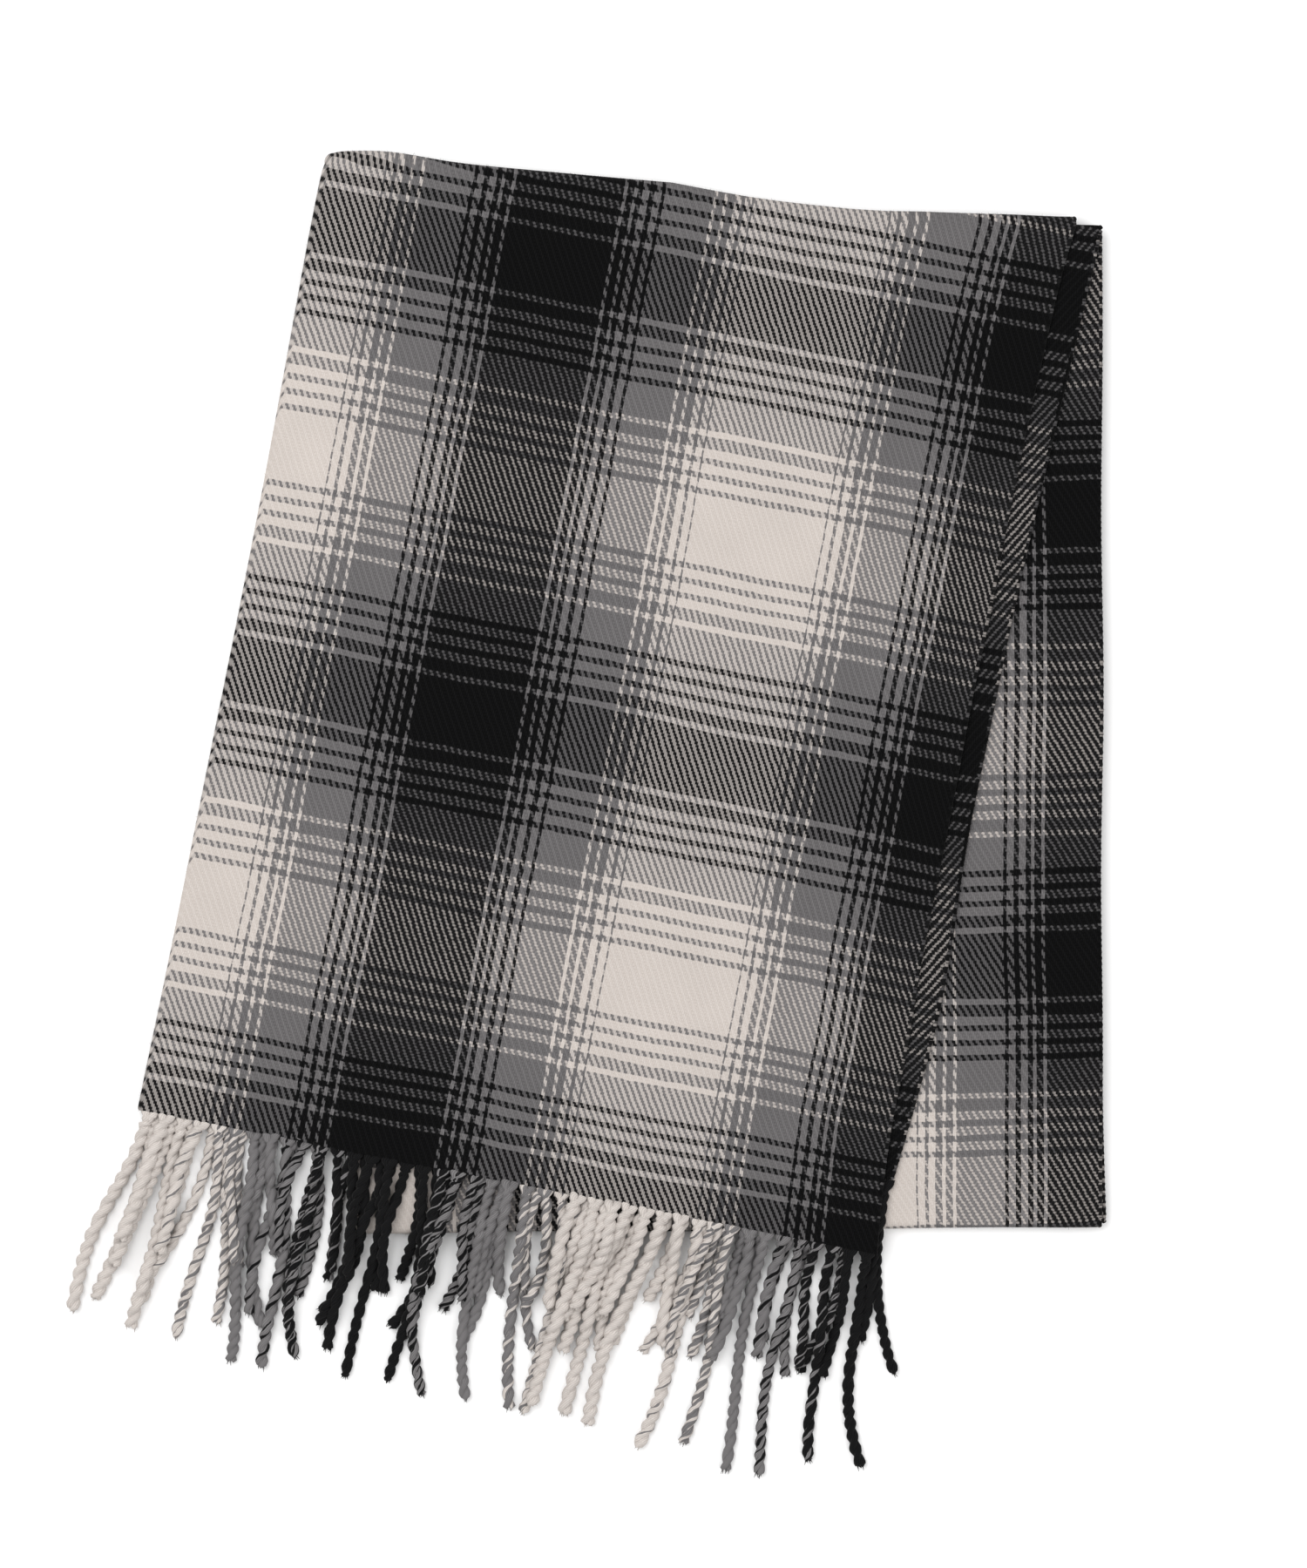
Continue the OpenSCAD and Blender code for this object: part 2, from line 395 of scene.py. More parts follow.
class Tree:
    def __init__(self, name):
        self.m = bpy.data.materials.new(name)
        self.m.use_nodes = True
        self.nt = self.m.node_tree
        self.nt.nodes.clear()
        self.out = self.nt.nodes.new("ShaderNodeOutputMaterial")
        self.bsdf = self.nt.nodes.new("ShaderNodeBsdfPrincipled")
        self.nt.links.new(self.bsdf.outputs[0], self.out.inputs["Surface"])

    def put(self, socket, value):
        if isinstance(value, bpy.types.NodeSocket):
            self.nt.links.new(value, socket)
        else:
            socket.default_value = value

    def math(self, op, a, b=None, c=None, clamp=False):
        n = self.nt.nodes.new("ShaderNodeMath")
        n.operation = op
        n.use_clamp = clamp
        for k, x in enumerate((a, b, c)):
            if x is not None:
                self.put(n.inputs[k], x)
        return n.outputs[0]

    def ramp(self, fac, stops, mode="CONSTANT"):
        n = self.nt.nodes.new("ShaderNodeValToRGB")
        n.color_ramp.interpolation = mode
        e = n.color_ramp.elements
        while len(e) > 1:
            e.remove(e[-1])
        e[0].position, e[0].color = stops[0][0], (*stops[0][1], 1)
        for pos, colour in stops[1:]:
            x = e.new(pos)
            x.color = (*colour, 1)
        self.put(n.inputs[0], fac)
        return n.outputs[0]

    def mix(self, fac, a, b, blend="MIX"):
        n = self.nt.nodes.new("ShaderNodeMix")
        n.data_type = "RGBA"
        n.blend_type = blend
        n.clamp_factor = True
        self.put(n.inputs[0], fac)
        self.put(n.inputs[6], a)
        self.put(n.inputs[7], b)
        return n.outputs[2]

    def gamma(self, colour, power):
        n = self.nt.nodes.new("ShaderNodeGamma")
        self.put(n.inputs[0], colour)
        self.put(n.inputs[1], power)
        return n.outputs[0]

    def noise(self, vector, scale, detail=2.0, rough=0.5, dims="3D", w=None):
        n = self.nt.nodes.new("ShaderNodeTexNoise")
        n.noise_dimensions = dims
        self.put(n.inputs["Vector"], vector)
        n.inputs["Scale"].default_value = scale
        n.inputs["Detail"].default_value = detail
        n.inputs["Roughness"].default_value = rough
        if w is not None:
            n.inputs["W"].default_value = w
        return n.outputs["Fac"]

    def uv(self, name):
        n = self.nt.nodes.new("ShaderNodeUVMap")
        n.uv_map = name
        return n.outputs[0]

    def split(self, v):
        n = self.nt.nodes.new("ShaderNodeSeparateXYZ")
        self.put(n.inputs[0], v)
        return n.outputs

    def join(self, x, y, z=0.0):
        n = self.nt.nodes.new("ShaderNodeCombineXYZ")
        for k, a in enumerate((x, y, z)):
            self.put(n.inputs[k], a)
        return n.outputs[0]

    def attribute(self, name):
        n = self.nt.nodes.new("ShaderNodeAttribute")
        n.attribute_name = name
        return n.outputs["Fac"]

    def bump(self, height, strength, distance, normal=None):
        n = self.nt.nodes.new("ShaderNodeBump")
        n.inputs["Strength"].default_value = strength
        n.inputs["Distance"].default_value = distance
        self.put(n.inputs["Height"], height)
        if normal is not None:
            self.put(n.inputs["Normal"], normal)
        return n.outputs[0]

    def wool(self, sheen=0.05):
        b = self.bsdf
        b.inputs["Specular IOR Level"].default_value = 0.06
        b.inputs["Sheen Weight"].default_value = sheen
        b.inputs["Sheen Roughness"].default_value = 0.45
        b.inputs["Sheen Tint"].default_value = (0.95, 0.93, 0.92, 1)


def stops_of(sequence, half):
    out, at = [], 0.0
    for name, count in sequence:
        out.append((at / half, COLOURS[name]))
        at += count
    return out


def thread_colour(t, index, sequence, half):
    f = t.math("PINGPONG", index, float(half))
    return t.ramp(t.math("DIVIDE", f, float(half)), stops_of(sequence, half))


def cloth_material(name, phase):
    t = Tree(name)
    flat = t.uv("cloth")
    u, v = t.split(flat)[0:2]
    # slow drift of the threads, then small irregularities
    d1 = t.math("SUBTRACT", t.noise(flat, 9.0, 1.0), 0.5)
    d2 = t.math("SUBTRACT", t.noise(flat, 11.0, 1.0, dims="4D", w=4.0), 0.5)
    d3 = t.math("SUBTRACT", t.noise(flat, 160.0, 1.0), 0.5)
    d4 = t.math("SUBTRACT", t.noise(flat, 150.0, 1.0, dims="4D", w=7.0), 0.5)
    uu = t.math("MULTIPLY_ADD", d1, 0.0040, u)
    uu = t.math("MULTIPLY_ADD", d3, 0.0011, uu)
    vv = t.math("MULTIPLY_ADD", d2, 0.0050, v)
    vv = t.math("MULTIPLY_ADD", d4, 0.0018, vv)
    i = t.math("DIVIDE", uu, END)
    j = t.math("DIVIDE", vv, PICK)
    i0, j0 = t.math("FLOOR", i), t.math("FLOOR", j)
    fi, fj = t.math("SUBTRACT", i, i0), t.math("SUBTRACT", j, j0)
    warp = thread_colour(t, t.math("ABSOLUTE", t.math("ADD", i0, 0.5)), WARP, HALF_WARP)
    weft = thread_colour(t, t.math("ABSOLUTE", t.math("ADD", j0, 0.5)), WEFT, HALF_WEFT)
    # heights of the two threads at this point: each is round across and goes over two threads, then under two
    shift_w = t.math("ADD", t.math("ADD", i0, j), float(phase))
    shift_f = t.math("ADD", t.math("ADD", i, j0), float(phase))
    zw = t.math("ADD", t.math("MULTIPLY", t.math("SINE", t.math("MULTIPLY", shift_w, math.pi / 2)), 0.5),
                t.math("MULTIPLY", t.math("SINE", t.math("MULTIPLY", fi, math.pi)), 0.5))
    zf = t.math("ADD", t.math("MULTIPLY", t.math("SINE", t.math("MULTIPLY", shift_f, math.pi / 2)), -0.5),
                t.math("MULTIPLY_ADD", t.math("SINE", t.math("MULTIPLY", fj, math.pi)), 0.5, -0.35))
    h = t.math("MAXIMUM", t.math("MAXIMUM", zw, zf), 0.0)
    # brushed nap: fibres that blur one thread into the next
    fibre = t.noise(t.join(t.math("MULTIPLY", u, 1.0), t.math("MULTIPLY", v, 0.45)), 2600.0, 2.0, 0.65)
    nap = t.noise(flat, 520.0, 3.0, 0.65)
    patch = t.noise(flat, 26.0, 2.0, 0.5)
    over = t.math("ADD", t.math("SUBTRACT", zw, zf), t.math("MULTIPLY", t.math("SUBTRACT", nap, 0.5), 2.2))
    over = t.math("MULTIPLY_ADD", over, 1.5, 0.5, clamp=True)
    over = t.math("MULTIPLY_ADD", over, 0.70, 0.15)
    # dark fibres hide light ones where they mix, with painted shade where threads of two colours cross, and painted
    # shade darkens the gaps between threads
    # painted shade: the lower the threads lie at a point, the darker its colour
    gap_shade = t.math("MULTIPLY_ADD", t.math("SUBTRACT", 1.0, h), 0.28, 1.0)
    colour = t.mix(
        1.0,
        t.gamma(warp, t.math("MULTIPLY", over, gap_shade)),
        t.gamma(weft, t.math("MULTIPLY", t.math("SUBTRACT", 1.0, over), gap_shade)),
        "MULTIPLY",
    )
    shade = t.math("MULTIPLY_ADD", fibre, 0.70, 0.65)
    shade = t.math("MULTIPLY", shade, t.math("MULTIPLY_ADD", patch, 0.14, 0.93))
    colour = t.mix(1.0, colour, t.join(shade, shade, shade), "MULTIPLY")
    t.put(t.bsdf.inputs["Base Color"], colour)
    rough = t.math("MULTIPLY_ADD", fibre, 0.16, 0.80)
    t.put(t.bsdf.inputs["Roughness"], rough)
    height = t.math("ADD", t.math("MULTIPLY", h, 0.24), t.math("ADD", t.math("MULTIPLY", fibre, 1.1), nap))
    t.put(t.bsdf.inputs["Normal"], t.bump(height, 0.45, 0.00045))
    t.wool()
    return t.m


def yarn_material(name):
    """Twisted fringe yarn. Map strand holds turns round the ply and metres along it; first_end is the warp end that the ply starts with."""
    t = Tree(name)
    flat = t.uv("strand")
    a, l = t.split(flat)[0:2]
    first = t.attribute("first_end")
    wob = t.math("SUBTRACT", t.noise(t.join(t.math("MULTIPLY", a, 0.004), l), 120.0, 1.0), 0.5)
    turn = t.math("ADD", t.math("MULTIPLY", a, 2.0), t.math("MULTIPLY_ADD", l, -95.0, t.math("MULTIPLY", wob, 0.9)))
    five = t.math("MULTIPLY", t.math("FRACT", turn), 5.0)
    k = t.math("FLOOR", five)
    fk5 = t.math("SUBTRACT", five, k)
    end = t.math("ADD", t.math("ADD", first, k), 0.5)
    warp = thread_colour(t, t.math("ABSOLUTE", end), WARP, HALF_WARP)
    ridge = t.math("POWER", t.math("SINE", t.math("MULTIPLY", fk5, math.pi)), 0.6)
    pos = t.join(t.math("MULTIPLY", turn, 0.012), t.math("MULTIPLY", l, 0.5), t.math("MULTIPLY", first, 0.37))
    fibre = t.noise(pos, 1500.0, 2.0, 0.7)
    tone = t.noise(t.join(t.math("MULTIPLY", first, 0.31), l), 30.0, 2.0)
    # painted shade: the grooves between the threads of each ply are darker, here and in shade below
    warp = t.gamma(warp, t.math("MULTIPLY_ADD", t.math("SUBTRACT", 1.0, ridge), 0.3, 0.88))
    shade = t.math("MULTIPLY_ADD", ridge, 0.12, 0.88)
    shade = t.math("MULTIPLY", shade, t.math("MULTIPLY_ADD", fibre, 0.44, 0.78))
    shade = t.math("MULTIPLY", shade, t.math("MULTIPLY_ADD", tone, 0.20, 0.90))
    colour = t.mix(1.0, warp, t.join(shade, shade, shade), "MULTIPLY")
    t.put(t.bsdf.inputs["Base Color"], colour)
    t.put(t.bsdf.inputs["Roughness"], t.math("MULTIPLY_ADD", fibre, 0.16, 0.80))
    t.put(
        t.bsdf.inputs["Normal"],
        t.bump(t.math("ADD", t.math("MULTIPLY", ridge, 0.6), t.math("MULTIPLY", fibre, 0.8)), 0.7, 0.0005),
    )
    t.wool(0.05)
    return t.m


def floor_material():
    t = Tree("studio_floor")
    n = t.nt.nodes.new("ShaderNodeTexCoord")
    tone = t.noise(n.outputs["Object"], 3.0, 1.0)
    v = t.math("MULTIPLY_ADD", tone, 0.01, 0.945)
    t.put(t.bsdf.inputs["Base Color"], t.join(v, v, v))
    t.bsdf.inputs["Roughness"].default_value = 0.9
    t.bsdf.inputs["Specular IOR Level"].default_value = 0.1
    return t.m


cloth_face = cloth_material("twill_face", 0)
cloth_back = cloth_material("twill_reverse", 2)
yarn = yarn_material("fringe_yarn")

# ------------------------------------------------------------------ meshes


def mesh_of(name, co, quads, uvs, mats, mat_index=None, normals=None, attributes=None):
    me = bpy.data.meshes.new(name)
    me.vertices.add(len(co))
    me.vertices.foreach_set("co", np.asarray(co, np.float32).ravel())
    quads = np.asarray(quads, np.int32)
    me.loops.add(quads.size)
    me.loops.foreach_set("vertex_index", quads.ravel())
    me.polygons.add(len(quads))
    me.polygons.foreach_set("loop_start", np.arange(0, quads.size, 4, dtype=np.int32))
    me.polygons.foreach_set("loop_total", np.full(len(quads), 4, np.int32))
    me.polygons.foreach_set("use_smooth", np.ones(len(quads), bool))
    if mat_index is not None:
        me.polygons.foreach_set("material_index", np.asarray(mat_index, np.int32))
    for m in mats:
        me.materials.append(m)
    me.update(calc_edges=True)
    for key, values in uvs.items():
        layer = me.uv_layers.new(name=key, do_init=False)
        layer.uv.foreach_set("vector", np.asarray(values, np.float32).ravel())
    for key, values in (attributes or {}).items():
        a = me.attributes.new(key, "FLOAT", "POINT")
        a.data.foreach_set("value", np.asarray(values, np.float32))
    if normals is not None:
        me.normals_split_custom_set_from_vertices(np.asarray(normals, float).tolist())
    me.validate(clean_customdata=False)
    ob = bpy.data.objects.new(name, me)
    scene.collection.objects.link(ob)
    return ob


def grid_quads(nr, nc, start, flip):
    i = np.arange(nr - 1)[:, None] * nc + np.arange(nc - 1)[None] + start
    q = np.stack([i, i + 1, i + nc + 1, i + nc], axis=-1).reshape(-1, 4)
    return q[:, ::-1] if flip else q


def fibres(roots, way, length, radius, curl=0.35, sides=3):
    """Short tapered fibres, each of three rings: vertices and quads. Four-sided ones are closed."""
    m = len(roots)
    way = way / (np.linalg.norm(way, axis=1)[:, None] + 1e-12)
    a = np.cross(way, rng.normal(size=(m, 3)))
    a /= np.linalg.norm(a, axis=1)[:, None] + 1e-12
    b = np.cross(way, a)
    q = np.array([-0.12, 0.5, 1.0])
    centre_l = (
        roots[:, None]
        + way[:, None] * (length[:, None] * q)[..., None]
        + a[:, None] * (length[:, None] * curl * q**2)[..., None]
    )
    ang = np.arange(sides) * 2 * math.pi / sides
    circle = a[:, None] * np.cos(ang)[None, :, None] + b[:, None] * np.sin(ang)[None, :, None]
    r = radius * np.array([1.0, 0.8, 0.25])
    co = centre_l[:, :, None] + circle[:, None] * r[None, :, None, None]
    nrm = np.broadcast_to(circle[:, None], co.shape)
    k = np.arange(sides)
    base = (np.arange(m) * 3 * sides)[:, None, None] + (np.arange(2) * sides)[None, :, None]
    quads = np.stack([base + k, base + (k + 1) % sides, base + (k + 1) % sides + sides, base + k + sides], axis=-1)
    quads = quads.reshape(-1, 4)
    if sides == 4:
        ends = (np.arange(m) * 12)[:, None]
        quads = np.concatenate([quads, ends + np.array([3, 2, 1, 0]), ends + np.array([8, 9, 10, 11])])
    return co.reshape(-1, 3), quads, nrm.reshape(-1, 3)


def nap(rows, cols, way, per_m, spread, reach=(0.8, 2.3)):
    """Fibres that stand off the cloth along one way over its grid."""
    pts = P[rows, cols]
    along = np.concatenate([[0], np.cumsum(np.linalg.norm(np.diff(pts, axis=0), axis=1))])
    m = int(along[-1] * per_m)
    at = np.sort(rng.uniform(0, along[-1], m))

    def pick(values):
        return np.stack([np.interp(at, along, values[:, k]) for k in range(values.shape[1])], axis=1)

    root, w, n = pick(pts), pick(way), pick(N[rows, cols])
    root = root + n * (rng.uniform(-1, 1, m) * spread)[:, None]
    w = w + rng.normal(0, 0.55, (m, 3)) + n * rng.normal(0, 0.3, m)[:, None]
    long = 1.25 * rng.uniform(reach[0], reach[1], m) * MM * rng.uniform(0.4, 1, m)
    u = pick(np.broadcast_to(U[cols], (len(pts),))[:, None])[:, 0]
    v = pick(V_FACE[rows, cols][:, None])[:, 0]
    return root, w, long, u, v


def bead(points, normals, outward, rad, spacing, u, v):
    """Chain-like selvedge: a row of small stitches along a cut of the cloth's side. Returns a tube that bulges at each stitch."""
    seg = np.linalg.norm(np.diff(points, axis=0), axis=1)
    along = np.concatenate([[0], np.cumsum(seg)])
    n = max(3, int(along[-1] / (0.9 * MM)))
    at = np.linspace(0, along[-1], n)
    p = np.stack([np.interp(at, along, points[:, k]) for k in range(3)], axis=1)
    vv = np.interp(at, along, v)
    nn = np.stack([np.interp(at, along, normals[:, k]) for k in range(3)], axis=1)
    oo = np.stack([np.interp(at, along, outward[:, k]) for k in range(3)], axis=1)
    r = rad * (0.72 + 0.40 * np.abs(np.sin(math.pi * at / spacing)))
    r[0] = r[-1] = rad * 0.25
    wig = 0.22 * rad * np.sin(2 * math.pi * at / spacing + 1.0)
    sides = 8
    ang = np.arange(sides) * 2 * math.pi / sides
    ring = (
        p[:, None]
        + oo[:, None] * (np.cos(ang)[None, :, None] * r[:, None, None] + wig[:, None, None])
        + nn[:, None] * np.sin(ang)[None, :, None] * r[:, None, None]
    )
    return ring.reshape(-1, 3), n, sides, np.repeat(vv, sides), np.full(n * sides, u)


def cloth_piece(name, r0, r1, c0, c1, beads=(), naps=()):
    """One piece of the cloth between rows r0 and r1 and columns c0 and c1, closed all round."""
    sub = (slice(r0, r1 + 1), slice(c0, c1 + 1))
    nr, nc = r1 - r0 + 1, c1 - c0 + 1
    top, low = FACE[sub].reshape(-1, 3), BACK[sub].reshape(-1, 3)
    co = np.concatenate([top, low])
    nrm = np.concatenate([N[sub].reshape(-1, 3), -N[sub].reshape(-1, 3)])
    per_u = np.tile(np.broadcast_to(U[None, c0 : c1 + 1], (nr, nc)).reshape(-1), 2)
    per_v = np.concatenate([V_FACE[sub].reshape(-1), V_BACK[sub].reshape(-1)])
    q_top = grid_quads(nr, nc, 0, False)
    a, b, c = co[q_top[0, 0]], co[q_top[0, 1]], co[q_top[0, 2]]
    if np.dot(np.cross(b - a, c - a), nrm[q_top[0, 0]]) < 0:
        q_top = q_top[:, ::-1]
        q_low = grid_quads(nr, nc, nr * nc, False)
    else:
        q_low = grid_quads(nr, nc, nr * nc, True)
    edge = np.concatenate(
        [
            np.arange(nc),
            np.arange(1, nr) * nc + nc - 1,
            (nr - 1) * nc + np.arange(nc - 2, -1, -1),
            np.arange(nr - 2, 0, -1) * nc,
        ]
    )
    nxt = np.roll(edge, -1)
    wall = np.stack([edge, nxt, nxt + nr * nc, edge + nr * nc], axis=1)
    mid = co[: nr * nc].mean(0)
    w0 = wall[nc // 2]
    face_n = np.cross(co[w0[1]] - co[w0[0]], co[w0[2]] - co[w0[0]])
    if np.dot(face_n, co[w0[0]] - co[w0[0] + (nc if w0[0] < nc else -nc)]) < 0:
        wall = wall[:, ::-1]
    quads = np.concatenate([q_top, q_low, wall])
    kind = np.concatenate(
        [np.zeros(len(q_top)), np.ones(len(q_low)), np.zeros(len(wall))]
    )
    # own map for the bake: the face has most of it, the reverse the rest
    gu = np.tile((np.arange(nc) / (nc - 1))[None], (nr, 1)).reshape(-1)
    gv = np.tile((np.arange(nr) / (nr - 1))[:, None], (1, nc)).reshape(-1)
    bake = np.concatenate(
        [
            np.stack([0.004 + 0.992 * gu, 0.334 + 0.662 * gv], 1),
            np.stack([0.004 + 0.992 * gu, 0.004 + 0.292 * gv], 1),
        ]
    )
    loops = quads.reshape(-1)
    cloth_uv = np.stack([per_u[loops], per_v[loops]], 1)
    bake_uv = bake[loops]
    # walls sit in the thin strip between the two
    start = (len(q_top) + len(q_low)) * 4
    w_at = np.repeat(np.arange(len(wall)) / len(wall), 4).reshape(-1, 4)
    w_next = w_at + 1 / len(wall)
    wx = np.stack([w_at[:, 0], w_next[:, 0], w_next[:, 0], w_at[:, 0]], 1)
    wy = np.tile([0.300, 0.300, 0.308, 0.308], (len(wall), 1))
    bake_uv[start:] = np.stack([0.004 + 0.992 * wx.reshape(-1), wy.reshape(-1)], 1)
    for points, normals, outward, rad, spacing, u, v in beads:
        ring, n, sides, bv, bu = bead(points, normals, outward, rad, spacing, u, v)
        base = len(co)
        k = np.arange(sides)
        i = base + np.arange(n - 1)[:, None] * sides + k[None]
        i2 = base + np.arange(n - 1)[:, None] * sides + ((k + 1) % sides)[None]
        q = np.stack([i, i2, i2 + sides, i + sides], axis=-1).reshape(-1, 4)
        c_ring = ring.reshape(n, sides, 3).mean(1)
        test = np.cross(ring[1] - ring[0], ring[sides] - ring[0])
        if np.dot(test, ring[0] - c_ring[0]) < 0:
            q = q[:, ::-1]
        rn = ring.reshape(n, sides, 3) - c_ring[:, None]
        rn /= np.linalg.norm(rn, axis=2)[..., None] + 1e-12
        co = np.concatenate([co, ring])
        nrm = np.concatenate([nrm, rn.reshape(-1, 3)])
        quads = np.concatenate([quads, q])
        kind = np.concatenate([kind, np.zeros(len(q))])
        rel = q.reshape(-1) - base
        cloth_uv = np.concatenate([cloth_uv, np.stack([bu[rel], bv[rel]], 1)])
        bake_uv = np.concatenate(
            [
                bake_uv,
                np.stack(
                    [0.004 + 0.992 * (rel // sides) / n, 0.311 + 0.007 * (rel % sides) / sides], 1
                ),
            ]
        )
    for root, w, long, fu, fv in naps:
        f_co, f_quads, f_nrm = fibres(root, w, long, 0.08 * MM, sides=4)
        f_co[:, 2] = np.maximum(f_co[:, 2], 0.1 * MM)
        rel = f_quads.reshape(-1)
        one, lvl = rel // 12, (rel % 12) // 4
        m = len(root)
        quads = np.concatenate([quads, f_quads + len(co)])
        co = np.concatenate([co, f_co])
        nrm = np.concatenate([nrm, f_nrm])
        kind = np.concatenate([kind, np.zeros(len(f_quads))])
        cloth_uv = np.concatenate([cloth_uv, np.stack([fu[one], fv[one]], 1)])
        x = 0.006 + 0.986 * one / m + 0.0012 * (rel % 4)
        bake_uv = np.concatenate([bake_uv, np.stack([x, 0.3215 + 0.0035 * lvl], 1)])
    return mesh_of(
        name, co, quads, {"cloth": cloth_uv, "OFBake": bake_uv},
        [cloth_face, cloth_back], kind, nrm,
    )


def selvedge(r0, r1, col):
    """Data for the stitched edge along one selvedge."""
    step = 1 if col == 0 else -1
    c = 0 if col == 0 else N_COLS - 1
    p = P[r0 : r1 + 1, c]
    out = P[r0 : r1 + 1, c] - P[r0 : r1 + 1, c + step * 4]
    out /= np.linalg.norm(out, axis=1)[:, None]
    return (p, N[r0 : r1 + 1, c], out, 1.4 * MM, 4.0 * MM, float(U[c]), V_FACE[r0 : r1 + 1, c])


def weld_like(node_list, ob, body):
    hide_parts(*node_list)
    if body:
        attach(ob, body)
    return ob


C_SIDE = C_A + (N_SIDE + 1) // 2  # the outermost column of the lengthwise fold


def edge_nap(r0, r1, col, per_m=3000):
    """Fibres along a selvedge."""
    step = 1 if col == 0 else -1
    c = 0 if col == 0 else N_COLS - 1
    rows = np.arange(r0, r1 + 1)
    out = P[rows, c] - P[rows, c + step * 4]
    out /= np.linalg.norm(out, axis=1)[:, None]
    return nap(rows, np.full(len(rows), c), out, per_m, 1.0 * MM)


def side_nap(r0, r1, per_m=1300):
    """Fibres along the lengthwise fold, which shows its upper half."""
    rows = np.arange(r0, r1 + 1)
    return [
        nap(rows, np.full(len(rows), c), N[rows, c], per_m, HALF * 0.3)
        for c in (C_SIDE - 2, C_SIDE)
    ]


def fold_nap(row, c0, c1, per_m=1300):
    """Fibres across a fold's outermost row and one nearby."""
    cols = np.arange(c0, c1 + 1)
    return [
        nap(np.full(len(cols), r), cols, N[r, cols], per_m, HALF * 0.3)
        for r in (row - 2, row)
    ]


A, B = 0, 1  # the halves' selvedges
front_upper = cloth_piece(
    "front_upper_cloth", 0, R_TOP, 0, C_B, [selvedge(0, R_TOP, A)],
    [edge_nap(0, R_TOP - 3, A), *side_nap(0, R_TOP - 3)],
)
weld_like(["front_upper_ply", "front_side_fold"], front_upper, "front_leaf")
front_lower = cloth_piece(
    "front_lower_cloth", 0, R_TOP, C_B, N_COLS - 1, [selvedge(0, R_TOP, B)], [edge_nap(0, R_TOP - 3, B)]
)
weld_like(["front_lower_ply"], front_lower, "front_leaf")
middle_lower = cloth_piece(
    "middle_lower_cloth", R_MID, R_LOW, 0, C_B, [selvedge(R_MID, R_LOW, A)],
    [edge_nap(R_MID + 3, R_LOW - 3, A, 1600)],
)
weld_like(["middle_lower_ply", "middle_side_fold"], middle_lower, "middle_leaf")
middle_upper = cloth_piece(
    "middle_upper_cloth", R_MID, R_LOW, C_B, N_COLS - 1, [selvedge(R_MID, R_LOW, B)],
    [edge_nap(R_MID + 3, R_LOW - 3, B)],
)
weld_like(["middle_upper_ply"], middle_upper, "middle_leaf")
back_upper = cloth_piece("back_upper_cloth", R_BACK, N_ROWS - 1, 0, C_B, [selvedge(R_BACK, N_ROWS - 1, A)])
weld_like(["back_upper_ply", "back_side_fold"], back_upper, "back_leaf")
back_lower = cloth_piece("back_lower_cloth", R_BACK, N_ROWS - 1, C_B, N_COLS - 1, [selvedge(R_BACK, N_ROWS - 1, B)])
weld_like(["back_lower_ply"], back_lower, "back_leaf")

top_outer = cloth_piece(
    "top_fold_outer_cloth", R_TOP, R_MID, 0, C_B, [selvedge(R_TOP, R_MID, A)],
    fold_nap(R_TOP + N_ARC // 2, 2, C_A),
)
top_inner = cloth_piece("top_fold_inner_cloth", R_TOP, R_MID, C_B, N_COLS - 1, [selvedge(R_TOP, R_MID, B)])
low_inner = cloth_piece("bottom_fold_inner_cloth", R_LOW, R_BACK, 0, C_B, [selvedge(R_LOW, R_BACK, A)])
low_outer = cloth_piece(
    "bottom_fold_outer_cloth", R_LOW, R_BACK, C_B, N_COLS - 1, [selvedge(R_LOW, R_BACK, B)],
    fold_nap(R_LOW + N_ARC // 2, C_B, N_COLS - 3),
)


def blended(ob, node, from_above):
    """A fold piece, which bends from the middle leaf to its neighbour along Z: its placement is baked into its mesh and
    the CAD node it stands for is hidden.
    """
    if from_above:  # the neighbour leaf is above the middle leaf
        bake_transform(ob)
    else:
        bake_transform(ob)
    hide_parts(node)


blended(top_outer, "top_fold_outer", True)
blended(top_inner, "top_fold_inner", True)
blended(low_inner, "bottom_fold_inner", False)
blended(low_outer, "bottom_fold_outer", False)

# ------------------------------------------------------------------ fringe

CELL = 1.0 * MM
X0, Y0 = cad_lo.x - 0.05, cad_lo.y - 0.05
GX, GY = int((cad_hi.x - cad_lo.x + 0.1) / CELL), int((cad_hi.y - cad_lo.y + 0.1) / CELL)


def inside(quad, p, grow=0.0):
    """Signed distance outside a convex quad, negative inside."""
    d = np.full(p.shape[:-1], -1.0)
    n = len(quad)
    c = np.mean(quad, axis=0)
    for k in range(n):
        a, b = quad[k], quad[(k + 1) % n]
        e = (b - a) / np.linalg.norm(b - a)
        m = np.array([e[1], -e[0]])
        if (c - a) @ m > 0:
            m = -m
        d = np.maximum(d, (p - a) @ m)
    return d - grow


gy, gx = np.mgrid[0:GY, 0:GX]
grid_p = np.stack([X0 + (gx + 0.5) * CELL, Y0 + (gy + 0.5) * CELL], -1)
mid_top = level("middle_upper_ply") + HALF + 0.3 * MM


def floor_heights():
    """What the front fringe falls on: the middle leaf with its rounded edges, and the floor."""
    d = inside(mid_up, grid_p, 4 * MM)
    return np.where(d < 0, mid_top, mid_top * (1 - smooth(d / (9 * MM))))


def sample(grid, p):
    i = np.clip(((p[:, 1] - Y0) / CELL).astype(int), 0, GY - 1)
    j = np.clip(((p[:, 0] - X0) / CELL).astype(int), 0, GX - 1)
    return grid[i, j]


